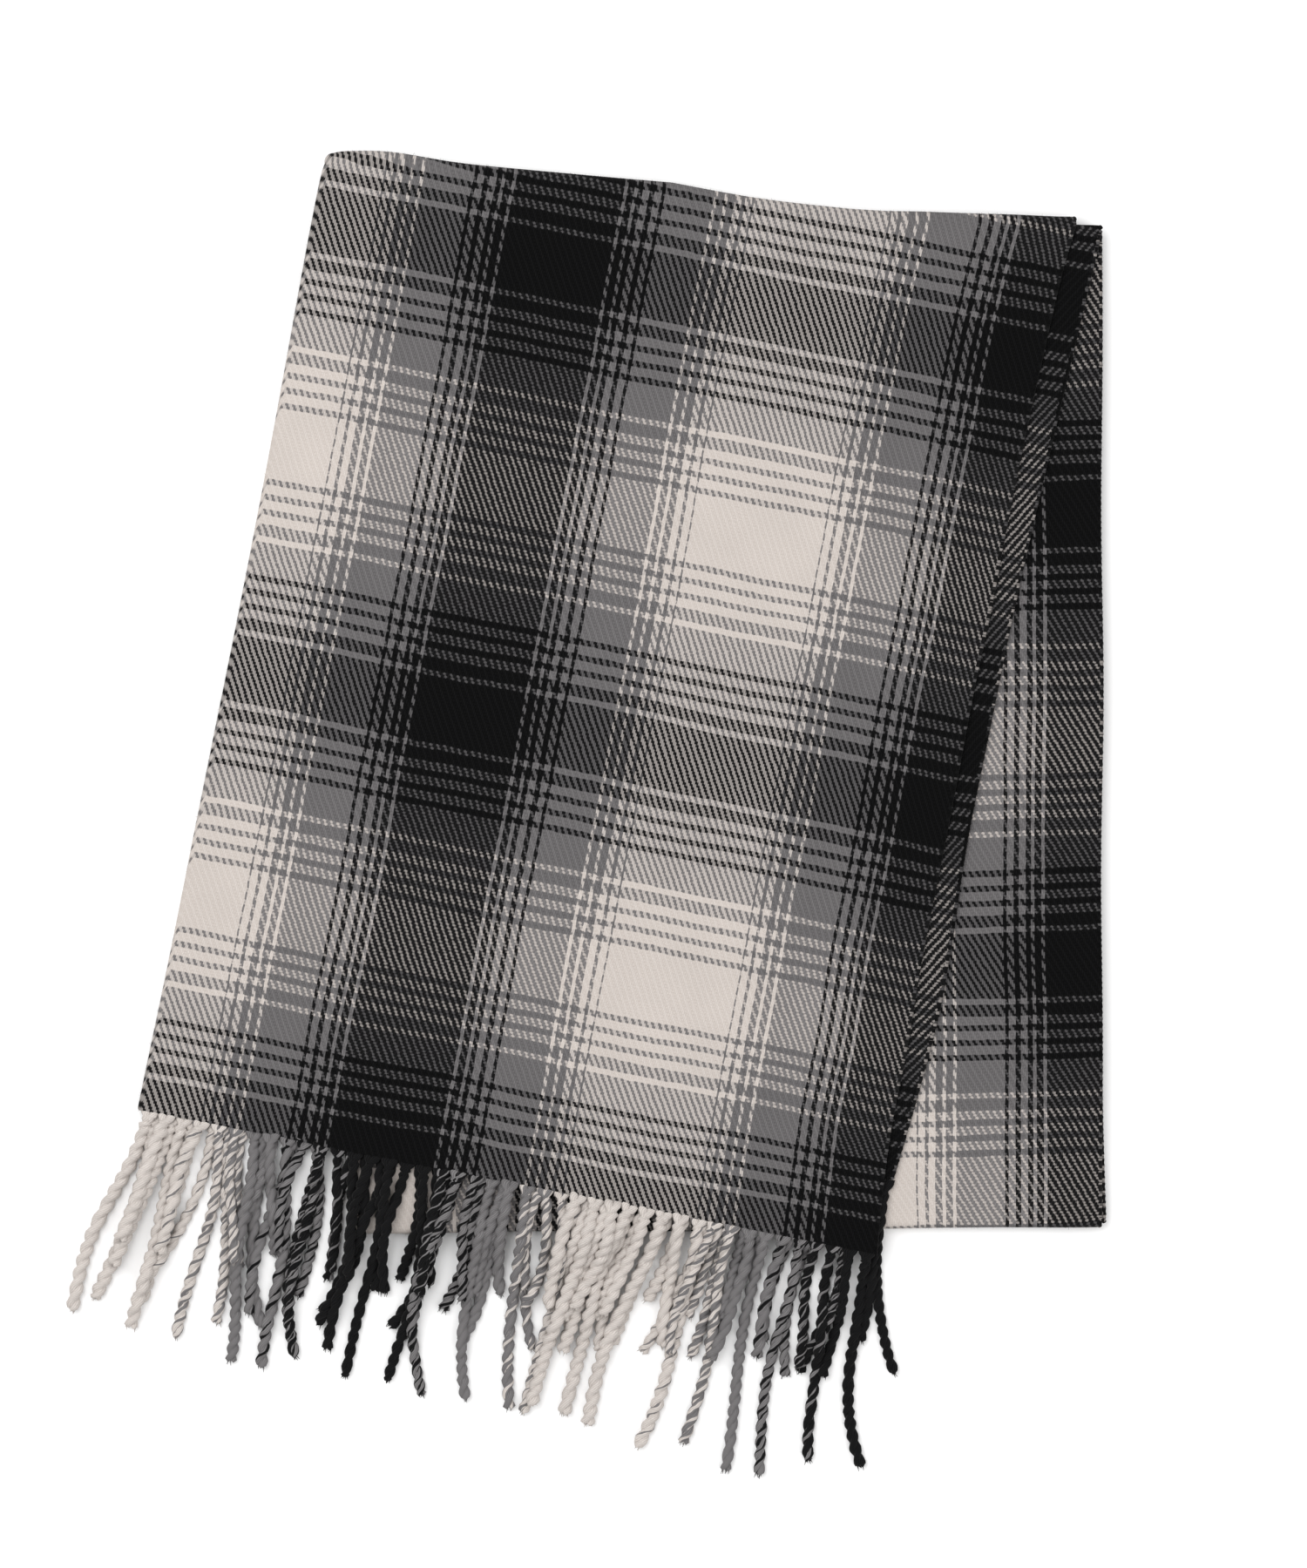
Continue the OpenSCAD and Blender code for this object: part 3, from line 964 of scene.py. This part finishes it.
def stamp(grid, p, top, r):
    n = int(math.ceil(r / CELL))
    for di in range(-n, n + 1):
        for dj in range(-n, n + 1):
            d = math.hypot(di, dj) * CELL
            if d > r:
                continue
            i = np.clip(((p[:, 1] - Y0) / CELL).astype(int) + di, 0, GY - 1)
            j = np.clip(((p[:, 0] - X0) / CELL).astype(int) + dj, 0, GX - 1)
            np.maximum.at(grid, (i, j), top - r * 0.5 * (1 - math.sqrt(max(0, 1 - (d / r) ** 2))))


def settle(grid, p, r, z_root, flat):
    """Height of a strand's centre along its way, resting on what lies below."""
    need = sample(grid, p)
    across = np.gradient(p, axis=0)
    across = np.stack([-across[:, 1], across[:, 0]], 1)
    across /= np.linalg.norm(across, axis=1)[:, None] + 1e-12
    for k in (-0.7, 0.7):
        need = np.maximum(need, sample(grid, p + across * r * k) - 0.35 * r)
    need = need + r * flat
    step = np.linalg.norm(np.diff(p, axis=0), axis=1).mean()
    slope = 0.55 * step
    z = need.copy()
    z[0] = z_root
    for k in range(1, len(z)):
        z[k] = max(z[k], z[k - 1] - slope)
    for k in range(len(z) - 2, 0, -1):
        z[k] = max(z[k], z[k + 1] - slope)
    kern = np.hanning(9)
    kern /= kern.sum()
    pad = np.concatenate([np.full(4, z[0]), z, np.full(4, z[-1])])
    z2 = np.convolve(pad, kern, mode="valid")
    z2 = np.minimum(np.maximum(z2, need - 0.6 * MM), 20.5 * MM)
    z2[0] = z_root
    return z2


def path_of(root, lean, length, bend, wave, phase, step=1.7 * MM):
    """A strand's way on the floor: it starts straight down from the hem and leans, bends and waves."""
    n = max(8, int(length / step))
    f = np.linspace(0, 1, n + 1)
    swing = bend * f**1.6 + wave * np.sin(phase + f * 5.5) * smooth(f / 0.3)
    ang = lean + swing - 0.8 * swing.mean()
    d = np.stack([-np.sin(ang), -np.cos(ang)], 1)
    p = np.zeros((n + 1, 2))
    p[1:] = np.cumsum(d[:-1] * (length / n), axis=0)
    return root + p


class Fringe:
    def __init__(self):
        self.co, self.quads, self.uv, self.bake, self.first, self.count = [], [], [], [], [], 0
        self.base = 0
        self.cords, self.fuzz, self.strands = [], [], 0

    def tube(self, ring, turns, along, first):
        """ring is n x sides x 3."""
        n, sides = ring.shape[:2]
        # a seam column is doubled so that the map doesn't wrap backwards
        ring = np.concatenate([ring, ring[:, :1]], axis=1)
        a = np.linspace(0, 1, sides + 1)
        uu = turns[:, None] + a[None]
        vv = np.repeat(along[:, None], sides + 1, axis=1)
        i = self.base + np.arange(n - 1)[:, None] * (sides + 1) + np.arange(sides)[None]
        q = np.stack([i, i + 1, i + sides + 2, i + sides + 1], axis=-1).reshape(-1, 4)
        c = ring[:, :sides].mean(1)
        test = np.cross(ring[1, 1] - ring[1, 0], ring[2, 0] - ring[1, 0])
        if np.dot(test, ring[1, 0] - c[1]) < 0:
            q = q[:, ::-1]
        self.co.append(ring.reshape(-1, 3))
        self.quads.append(q)
        self.uv.append(np.stack([uu, vv], -1).reshape(-1, 2))
        f = along / max(along[-1], 1e-6)
        self.cords.append((self.base, n, sides + 1, a, f))
        self.first.append(np.full(n * (sides + 1), first))
        self.base += n * (sides + 1)

    def strand(self, p, z, r, pitch, phase, first, hem, flat=0.82, squeeze=None, fray=1.0, gather=9 * MM, spread=2.9 * MM):
        """Two plies twisted round each other along p, gathered from the hem."""
        n = len(p)
        seg = np.linalg.norm(np.diff(p, axis=0), axis=1)
        l = np.concatenate([[0], np.cumsum(seg)])
        c = np.concatenate([p, z[:, None]], axis=1)
        tan = np.gradient(c, axis=0)
        tan /= np.linalg.norm(tan, axis=1)[:, None]
        side_v = np.cross(np.array([0, 0, 1.0]), tan)
        side_v /= np.linalg.norm(side_v, axis=1)[:, None] + 1e-12
        up_v = np.cross(tan, side_v)
        g = smooth(l / gather)
        tip = np.clip((l[-1] - l) / (7 * MM), 0, 1)
        sq = np.ones(n) if squeeze is None else squeeze
        hem3 = np.array([hem[0], hem[1], 0.0])
        s_sign = 1.0 if np.dot(side_v[0], hem3) > 0 else -1.0
        sides = 8
        self.strands += 1
        ang = np.arange(sides) * 2 * math.pi / sides
        for ply in (0, 1):
            uneven = 0.55 * np.sin(l / (19 * MM) + phase) + 0.35 * np.sin(l / (7.7 * MM) + 2 * phase)
            t = phase * g + 2 * math.pi * l / pitch + uneven * g + math.pi * ply
            t = t + (0 if s_sign > 0 else math.pi) * 1.0
            start = math.pi * ply + (0 if s_sign > 0 else math.pi)
            t = start * (1 - g) + t * g
            rh = 0.35 * r * (1 + fray * 0.45 * (1 - tip) ** 2)
            off_s = np.cos(t) * rh * g + (1 - g) * spread * np.cos(start)
            off_u = np.sin(t) * rh * flat * g
            rr = 0.69 * r * (0.84 + 0.16 * np.sqrt(tip))
            half_s = rr * g + (1 - g) * spread * 0.98
            half_u = rr * flat * g + (1 - g) * 0.85 * MM
            rr_end = np.clip((l[-1] - l) / (1.2 * MM), 0, 1) ** 0.5
            rr_end = 0.12 + 0.88 * rr_end
            half_s, half_u = half_s * rr_end, half_u * rr_end * sq
            off_u = off_u * sq
            centre_l = c + side_v * off_s[:, None] + up_v * off_u[:, None]
            lump = 1 + 0.04 * np.sin(l / (2.3 * MM) + ply * 2 + phase) + rng.normal(0, 0.02, n)
            lump = lump[:, None] * (1 + rng.normal(0, 0.035, (n, sides)))
            ring = (
                centre_l[:, None]
                + side_v[:, None] * (np.cos(ang)[None] * half_s[:, None] * lump)[..., None]
                + up_v[:, None] * (np.sin(ang)[None] * half_u[:, None] * lump)[..., None]
            )
            ring[..., 2] = np.maximum(ring[..., 2], 0.15 * MM)
            self.tube(ring, np.zeros(n), l, first + 5 * ply)
            m = int(l[-1] * 520)
            at = rng.uniform(gather * 0.6, l[-1], m)
            i0 = np.clip(np.searchsorted(l, at), 1, n - 1)
            w = ((at - l[i0 - 1]) / (l[i0] - l[i0 - 1] + 1e-12))[:, None]
            around = rng.uniform(0, 2 * math.pi, m)
            out_v = side_v[i0] * np.cos(around)[:, None] + up_v[i0] * np.sin(around)[:, None]
            root = centre_l[i0 - 1] * (1 - w) + centre_l[i0] * w + side_v[i0] * (np.cos(around) * half_s[i0])[:, None] \
                + up_v[i0] * (np.sin(around) * half_u[i0])[:, None]
            way = out_v + rng.normal(0, 0.5, (m, 3)) + tan[i0] * rng.normal(0, 0.6, m)[:, None]
            self.fuzz.append((root, way, rng.uniform(0.5, 1.9, m) * MM, at, first + 5 * ply, self.strands - 1))
            # loose thread ends
            for e in range(3):
                m = 6
                q = np.linspace(0, 1, m)
                spread_a = rng.uniform(-1, 1) * 0.55
                ln = rng.uniform(1.5, 4.5) * MM
                d0 = tan[-1] * math.cos(spread_a) + side_v[-1] * math.sin(spread_a)
                base_p = centre_l[-2] + side_v[-2] * rng.uniform(-0.5, 0.5) * rr[-2]
                pts = base_p + d0 * (q * ln)[:, None]
                rt = 0.52 * MM * (1 - 0.75 * q)
                a5 = np.arange(5) * 2 * math.pi / 5
                ring = (
                    pts[:, None]
                    + side_v[-1] * (np.cos(a5)[None] * rt[:, None])[..., None]
                    + up_v[-1] * (np.sin(a5)[None] * rt[:, None])[..., None]
                )
                ring[..., 2] = np.maximum(ring[..., 2], 0.12 * MM)
                self.tube(ring, np.zeros(m), l[-1] + q * ln, first + 5 * ply + e)

    def build(self, name):
        co = np.concatenate(self.co)
        quads = np.concatenate(self.quads)
        uv = np.concatenate(self.uv)
        first = np.concatenate(self.first)
        bake = np.zeros((len(co), 2))
        big = [k for k, cord in enumerate(self.cords) if cord[1] > 6]
        small = [k for k, cord in enumerate(self.cords) if cord[1] <= 6]
        for order, k in enumerate(big):
            b, n, m, a, f = self.cords[k]
            w = 1.0 / len(big)
            x = (order + 0.06 + 0.88 * a) * w
            y = 0.02 + 0.97 * f
            bake[b : b + n * m, 0] = np.tile(x, n)
            bake[b : b + n * m, 1] = np.repeat(y, m)
        for order, k in enumerate(small):
            b, n, m, a, f = self.cords[k]
            w = 1.0 / max(1, len(small))
            x = (order + 0.1 + 0.8 * a) * w
            bake[b : b + n * m, 0] = np.tile(x, n)
            bake[b : b + n * m, 1] = np.repeat(0.003 + 0.012 * f, m)
        for root, way, long, at, start, which in self.fuzz:
            f_co, f_quads, _ = fibres(root, way, long, 0.06 * MM)
            f_co[:, 2] = np.maximum(f_co[:, 2], 0.1 * MM)
            m = len(root)
            turn = np.repeat(rng.uniform(0, 1, m), 9)
            quads = np.concatenate([quads, f_quads + len(co)])
            co = np.concatenate([co, f_co])
            uv = np.concatenate([uv, np.stack([turn, np.repeat(at, 9)], 1)])
            first = np.concatenate([first, np.full(m * 9, start)])
            x = (which + 0.1 + 0.75 * turn) / self.strands
            k = np.tile(np.arange(9), m)
            bake = np.concatenate([bake, np.stack([x + 0.002 * (k % 3), 0.003 + 0.005 * (k // 3)], 1)])
        loops = quads.reshape(-1)
        ob = mesh_of(
            name, co, quads, {"strand": uv[loops], "OFBake": bake[loops]}, [yarn],
            attributes={"first_end": first},
        )
        return ob


def hem_point(row, col_s, upper):
    """Place on a hem for a share of the ply's width."""
    cols = np.arange(C_A, -1, -1) if upper else np.arange(C_B, N_COLS)
    p = P[row, cols]
    x = np.interp(col_s, s_half, p[:, 0])
    y = np.interp(col_s, s_half, p[:, 1])
    z = np.interp(col_s, s_half, p[:, 2])
    return np.array([x, y]), z


COUNT = 43
heights = floor_heights()
lower, upper, lower_left, upper_left = Fringe(), Fringe(), Fringe(), Fringe()
hem_a0, hem_a1 = hem_point(0, 0.0, True)[0], hem_point(0, 1.0, True)[0]
hem_dir = (hem_a1 - hem_a0) / np.linalg.norm(hem_a1 - hem_a0)
hem_n = np.array([-hem_dir[1], hem_dir[0]])
hem_n = hem_n if hem_n[1] < 0 else -hem_n


def past_hem(p):
    """How far a point is beyond the upper ply's hem."""
    return (p - hem_a0) @ hem_n


# the long tassels of the upper ply, from the left: how far each leans to the left in degrees, and its length
LEANS = [20.3, 15.2, 9.5, 4.6, 6.7, 7.7, 7.5, 11.3, 10.2, 9.7, 9.4, 5.5, 10.5, 15.5, 19.0, 20.5, 11.5, 13.5, 11.5, 10.0, 8.0, 3.0]
LONG = [141, 142, 143, 152, 152, 142, 132, 147, 145, 153, 148, 148, 149, 143, 145, 150, 157, 148, 160, 159, 144, 144]


def lean_at(s):
    return math.radians(float(np.interp(s * 42, np.arange(22) * 2, LEANS)))


def thick_at(first):
    m = abs(first) % (2 * HALF_WARP)
    m = min(m, 2 * HALF_WARP - m)
    return 4.6 if m < 40 else 3.7 if m < 62 else 3.95 if m < 92 else 3.75


def add_strand(fr, is_upper, s, lean, beyond, bend, wave, phase, pitch, r, start_index, fray=1.0):
    root, z0 = hem_point(0, s, is_upper)
    under = max(0.0, -past_hem(root)) if not is_upper else 0.0
    if is_upper:
        root = root - hem_n * 1.6 * MM
    length = beyond + under + (1.6 * MM if is_upper else 0)
    p = path_of(root, lean, length, bend, wave, phase)
    out = past_hem(p)
    covered = np.zeros(len(p))
    if not is_upper:  # it lies flat between the plies until it comes out from under the hem
        in_width = (p - hem_a1) @ hem_dir < -2 * MM
        covered = np.where(in_width, 1 - smooth((out + 1 * MM) / (9 * MM)), 0.0)
    z = settle(heights, p, r * 0.82, z0, 0.86)
    if not is_upper:
        z = z * (1 - covered) + (z0) * covered
    sq = 1 - 0.68 * covered
    if off_the_left(root) > 0:  # beyond the middle leaf: nothing of the back leaf comes near it
        fr = upper_left if is_upper else lower_left
    fr.strand(p, z, r, pitch, phase, start_index, hem_dir, squeeze=sq, fray=fray,
              gather=(10 if is_upper else 12) * MM)
    free = covered < 0.5
    if free.any():
        stamp(heights, p[free], (z + r * 0.42)[free], r * 0.85)


for odd in (0, 1):
    for k in range(odd, COUNT, 2):
        s = (k + 0.5) / COUNT
        first = -(10 * k + 2) - 10
        under = 47 * s  # millimetres that this hem stops short of the upper ply's hem
        beyond = (rng.uniform(127, 137) if k % 2 == 0 else rng.uniform(96, 118)) - under
        lean = 0.85 * lean_at(s) + math.radians(2.0 + rng.normal(0, 5.5))
        add_strand(
            lower, False, min(0.993, s + rng.uniform(0.3, 0.7) / COUNT), lean, beyond * MM,
            math.radians(rng.normal(0, 20)), math.radians(rng.uniform(0, 10)), rng.uniform(0, 6.28),
            rng.uniform(15, 20) * MM, thick_at(first) * MM * rng.uniform(0.92, 1.02), first,
        )
for odd in (0, 1):
    for k in range(odd, COUNT, 2):
        s = (k + 0.5) / COUNT
        first = 10 * k + 2
        if k % 2 == 0:
            lean, beyond = math.radians(LEANS[k // 2] + rng.normal(0, 1.0)), LONG[k // 2] * 1.01
        else:
            lean, beyond = 0.85 * lean_at(s) + math.radians(rng.normal(0, 5.0)), rng.uniform(76, 94)
        bend = math.radians(rng.normal(0, 20))
        add_strand(
            upper, True, s, lean, beyond * MM, bend, math.radians(rng.uniform(2, 11)),
            rng.uniform(0, 6.28), rng.uniform(16, 20) * MM, thick_at(first) * MM * rng.uniform(0.94, 1.04), first,
        )

fringe_low = lower.build("front_fringe_lower_yarn")
fringe_up = upper.build("front_fringe_upper_yarn")
fringe_low_left = lower_left.build("front_fringe_lower_left_yarn")
fringe_up_left = upper_left.build("front_fringe_upper_left_yarn")
for ob, node in (
    (fringe_low, "front_fringe_lower"), (fringe_low_left, "front_fringe_lower"),
    (fringe_up, "front_fringe_upper"), (fringe_up_left, "front_fringe_upper"),
):
    weld_like([node], ob, None)
for ob in (fringe_low, fringe_up):  # these two get meshes of their own
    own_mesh(ob)
for ob in (fringe_low, fringe_up, fringe_low_left, fringe_up_left):
    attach(ob, "front_leaf")


def back_row(name, is_upper, node, z_mid):
    fr = Fringe()
    row = N_ROWS - 1
    h0, h1 = hem_point(row, 0.0, is_upper)[0], hem_point(row, 1.0, is_upper)[0]
    d = (h1 - h0) / np.linalg.norm(h1 - h0)
    for k in range(COUNT):
        s = (k + 0.5) / COUNT
        root, z0 = hem_point(row, s, is_upper)
        root = root - np.array([0, 1.6 * MM])
        first = (10 * k + 2) if is_upper else -(10 * k + 12)
        length = (rng.uniform(112, 130) if (k % 2 == 0) != is_upper else rng.uniform(84, 118)) * MM
        p = path_of(root, math.radians(rng.normal(0, 2.5)), length, math.radians(rng.normal(0, 7)),
                    math.radians(rng.uniform(0, 5)), rng.uniform(0, 6.28))
        p = root + (p - root) * np.array([1, -1])
        edge = 6 * MM  # stays under the middle leaf
        p[:, 0] = np.clip(p[:, 0], min(h0[0], h1[0]) + edge, max(h0[0], h1[0]) - edge)
        z = np.full(len(p), z_mid)
        fr.strand(p, z, 3.5 * MM, rng.uniform(15, 19) * MM, rng.uniform(0, 6.28), first, d,
                  squeeze=np.full(len(p), 0.34), gather=10 * MM)
    ob = fr.build(name)
    weld_like([node], ob, "back_leaf")
    return ob


back_fringe_low = back_row("back_fringe_lower_yarn", False, "back_fringe_lower", level("back_fringe_lower"))
back_fringe_up = back_row("back_fringe_upper_yarn", True, "back_fringe_upper", level("back_fringe_upper"))

# ------------------------------------------------------------------ mean flat length of the front leaf

mean_front = float(np.mean(LfA))

# ------------------------------------------------------------------ floor, light, camera

me = bpy.data.meshes.new("floor")
me.from_pydata([(-5, -5, -0.0004), (5, -5, -0.0004), (5, 5, -0.0004), (-5, 5, -0.0004)], [], [(0, 1, 2, 3)])
floor = bpy.data.objects.new("floor", me)
floor.data.materials.append(floor_material())
scene.collection.objects.link(floor)

world = bpy.data.worlds.new("studio")
scene.world = world
world.use_nodes = True
bg = world.node_tree.nodes["Background"]
bg.inputs[0].default_value = (1.0, 0.995, 0.99, 1)
bg.inputs[1].default_value = 0.72


def area(name, location, target, size, power, colour=(1, 1, 1)):
    data = bpy.data.lights.new(name, "AREA")
    data.shape, data.size, data.energy, data.color = "SQUARE", size, power, colour
    ob = bpy.data.objects.new(name, data)
    ob.location = location
    ob.rotation_mode = "QUATERNION"
    ob.rotation_quaternion = (Vector(target) - Vector(location)).to_track_quat("-Z", "Y")
    scene.collection.objects.link(ob)
    return ob


centre_pt = ((cad_lo.x + cad_hi.x) / 2, (cad_lo.y + cad_hi.y) / 2, 0)
area("key_light", (-1.1, 0.9, 2.5), centre_pt, 2.4, 58)
area("fill_light", (1.7, -0.9, 2.4), centre_pt, 2.2, 22)

cam_data = bpy.data.cameras.new("camera")
cam_data.lens, cam_data.sensor_width = 100, 36
cam = bpy.data.objects.new("camera", cam_data)
cam.location = (0.0419, 0.0212, 2.875 + 0.012)
cam.rotation_euler = (0, 0, 0)
cam_data.clip_start, cam_data.clip_end = 0.05, 50
scene.collection.objects.link(cam)
scene.camera = cam
scene.view_settings.view_transform = "Standard"
scene.view_settings.look = "None"

bpy.context.view_layer.update()
